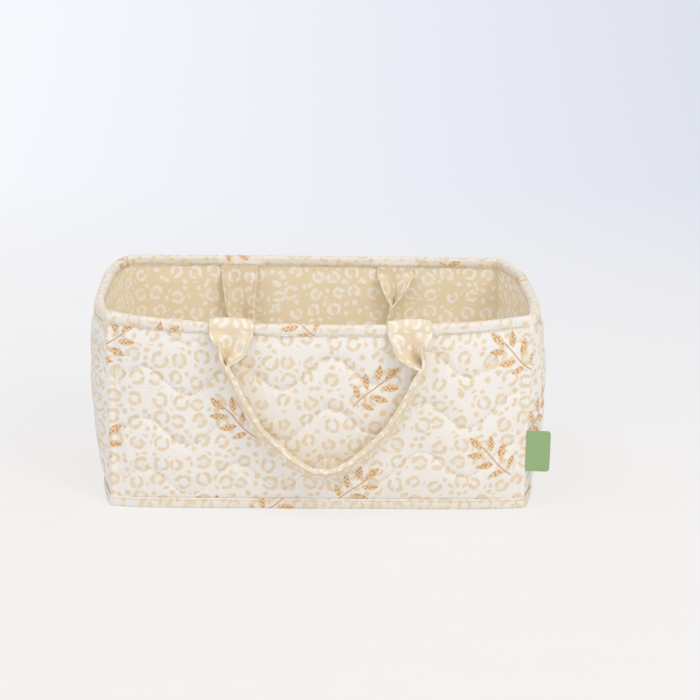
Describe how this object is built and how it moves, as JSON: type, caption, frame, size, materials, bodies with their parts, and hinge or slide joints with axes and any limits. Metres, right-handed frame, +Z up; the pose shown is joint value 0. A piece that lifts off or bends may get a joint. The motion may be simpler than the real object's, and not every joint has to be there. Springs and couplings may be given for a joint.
{
  "type": "diaper caddy",
  "caption": "Open-topped soft caddy of quilted cloth over foam, lined, bound at rim and foot, with folded strap handles and a side label.",
  "frame": {"origin": "centre of the underside, where the caddy rests on a shelf", "axes": "+X to the right along the long side, +Y to the back, +Z up; the front faces -Y"},
  "size_m": [0.3995, 0.2631, 0.17],
  "materials": {
    "quilted_cotton": "matt printed cotton, quilted in wavy rows",
    "lining_cotton": "matt printed cotton, plain sewn",
    "foam_sheet": "soft sewing foam, hidden",
    "board": "stiffening board, hidden",
    "tag_twill": "flat woven tag, bare"
  },
  "bodies": {
    "caddy_body": {"outer_front_panel": "quilted_cotton", "outer_right_panel": "quilted_cotton", "outer_back_panel": "quilted_cotton", "outer_left_panel": "quilted_cotton", "outer_base_panel": "quilted_cotton", "rim_binding": "quilted_cotton", "foot_binding": "quilted_cotton", "front_foam_core": "foam_sheet", "right_foam_core": "foam_sheet", "back_foam_core": "foam_sheet", "left_foam_core": "foam_sheet", "lining_front": "lining_cotton", "lining_right": "lining_cotton", "lining_back": "lining_cotton", "lining_left": "lining_cotton", "lining_floor": "lining_cotton", "base_board": "board", "front_handle_left_end": "lining_cotton", "front_handle_right_end": "lining_cotton", "back_handle_left_end": "lining_cotton", "back_handle_right_end": "lining_cotton", "side_label": "tag_twill"},
    "front_handle": {"front_handle_strap": "lining_cotton"},
    "back_handle": {"back_handle_strap": "lining_cotton"}
  },
  "joints": [
    {"name": "front_handle_swing", "type": "hinge", "parent": "caddy_body", "child": "front_handle", "pos_m": [0, -0.12152, 0.16095], "axis": [-1, 0, 0], "range_deg": [0, 290]},
    {"name": "back_handle_swing", "type": "hinge", "parent": "caddy_body", "child": "back_handle", "pos_m": [0, 0.10081, 0.15544], "axis": [-1, 0, 0], "range_deg": [0, 178]}
  ]
}
